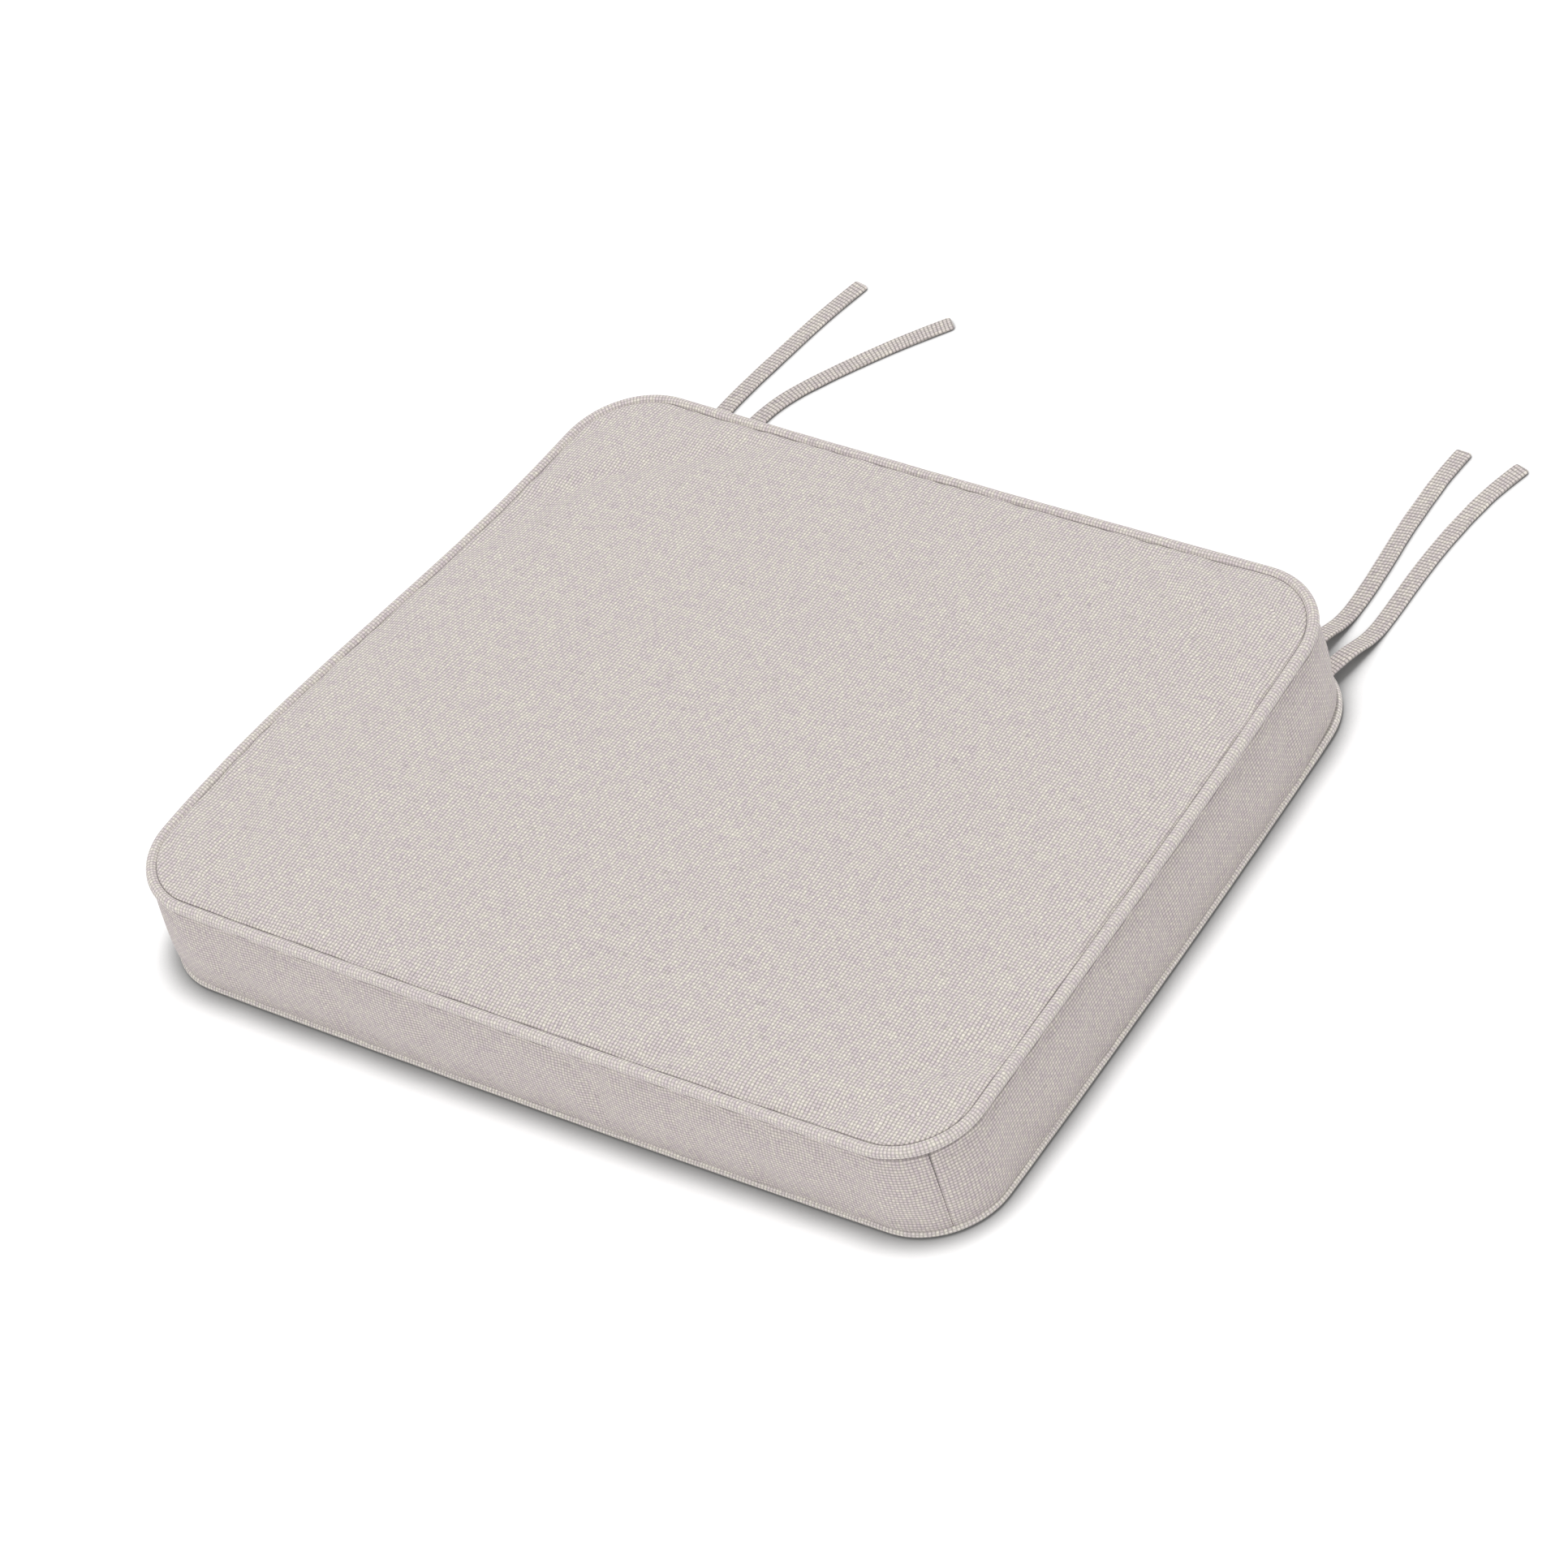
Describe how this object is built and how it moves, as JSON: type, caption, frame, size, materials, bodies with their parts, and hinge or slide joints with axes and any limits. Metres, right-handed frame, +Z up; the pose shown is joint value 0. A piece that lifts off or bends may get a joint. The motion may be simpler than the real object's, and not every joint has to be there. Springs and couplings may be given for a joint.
{
  "type": "chair seat pad",
  "caption": "Boxed chair seat pad in a pale woven cloth with piped edges, round corners, flat ties at the back and a zip in the back band.",
  "frame": {"origin": "middle of the pad's underside, on the surface that it rests on", "axes": "+Z up out of the sitting face, -Y towards the front of the seat, +Y towards the chair back and the ties, +X to the right as seen from above with the front nearest"},
  "size_m": [0.477, 0.5329, 0.0585],
  "materials": {
    "cover_cloth": "heathered plain weave, matte",
    "tie_cloth": "folded plain weave tape, matte",
    "foam": "open-cell polyurethane foam",
    "wadding": "polyester fibre",
    "filler_cord": "twisted cotton cord",
    "zip_tape": "woven polyester tape",
    "zip_nylon": "nylon coil",
    "zip_metal": "tumbled zinc, satin"
  },
  "bodies": {
    "pad": {"top_panel": "cover_cloth", "bottom_panel": "cover_cloth", "front_band": "cover_cloth", "left_band": "cover_cloth", "right_band": "cover_cloth", "back_band_upper": "cover_cloth", "back_band_lower": "cover_cloth", "top_piping_cover": "cover_cloth", "bottom_piping_cover": "cover_cloth", "top_piping_filler": "filler_cord", "bottom_piping_filler": "filler_cord", "foam_core": "foam", "top_wadding": "wadding", "bottom_wadding": "wadding", "zip_tape_upper": "zip_tape", "zip_tape_lower": "zip_tape", "zip_teeth_upper": "zip_nylon", "zip_teeth_lower": "zip_nylon", "zip_stop_left": "zip_metal", "zip_stop_right": "zip_metal", "tie_left_outer": "tie_cloth", "tie_left_inner": "tie_cloth", "tie_right_inner": "tie_cloth", "tie_right_outer": "tie_cloth"},
    "slider": {"zip_slider": "zip_metal"},
    "pull": {"zip_pull": "zip_metal"}
  },
  "joints": [
    {"name": "zip_slide", "type": "slide", "parent": "pad", "child": "slider", "axis": [1, 0, 0], "range_m": [0, 0.2895]},
    {"name": "pull_swing", "type": "hinge", "parent": "slider", "child": "pull", "pos_m": [-0.1449, 0.1883, 0.02925], "axis": [0, 0, 1], "range_deg": [0, 175]}
  ]
}
